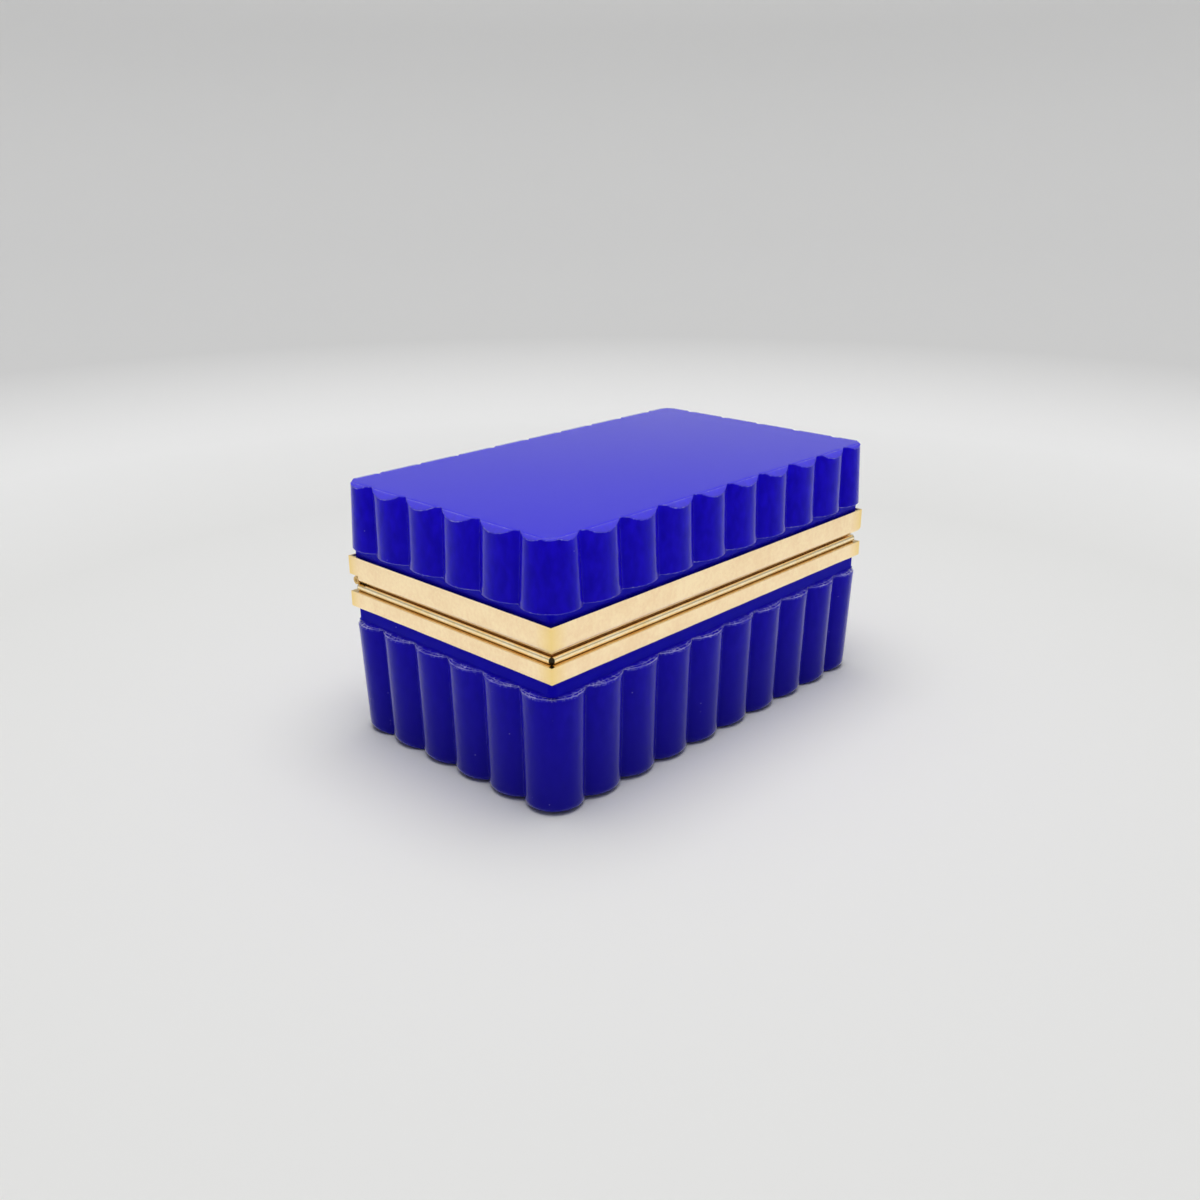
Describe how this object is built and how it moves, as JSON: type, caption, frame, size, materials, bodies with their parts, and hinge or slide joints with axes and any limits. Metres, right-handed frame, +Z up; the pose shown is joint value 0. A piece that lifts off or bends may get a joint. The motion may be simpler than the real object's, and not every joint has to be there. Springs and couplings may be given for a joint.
{
  "type": "glass casket box",
  "caption": "Oblong casket box for keepsakes: lobed opaque blue glass cup and lid, joined by a mitred brass mount with a bead and a long barrel hinge at the back",
  "frame": {"origin": "middle of the underside, on the surface the box stands on", "axes": "+X along the long side, -Y to the front, +Y to the hinge at the back, +Z up"},
  "size_m": [0.1442, 0.0866, 0.0759],
  "materials": {
    "blue_glass": "fire-polished, opaque",
    "cement": "set cement",
    "brass_frame": "polished",
    "brass_bead": "polished",
    "brass_hinge": "satin",
    "hinge_pin": "satin"
  },
  "bodies": {
    "base": {"base_glass": "blue_glass", "base_bed": "cement", "base_rail_front": "brass_frame", "base_rail_right": "brass_frame", "base_rail_rear": "brass_frame", "base_rail_left": "brass_frame", "base_bead_front": "brass_bead", "base_bead_right": "brass_bead", "base_bead_rear": "brass_bead", "base_bead_left": "brass_bead", "base_hinge_leaf": "brass_hinge", "hinge_pin": "hinge_pin"},
    "lid": {"lid_glass": "blue_glass", "lid_bed": "cement", "lid_rail_front": "brass_frame", "lid_rail_right": "brass_frame", "lid_rail_rear": "brass_frame", "lid_rail_left": "brass_frame", "lid_hinge_leaf": "brass_hinge"}
  },
  "joints": [
    {"name": "lid_hinge", "type": "hinge", "parent": "base", "child": "lid", "pos_m": [0, 0.0394, 0.04652], "axis": [-1, 0, 0], "range_deg": [0, 105]}
  ]
}
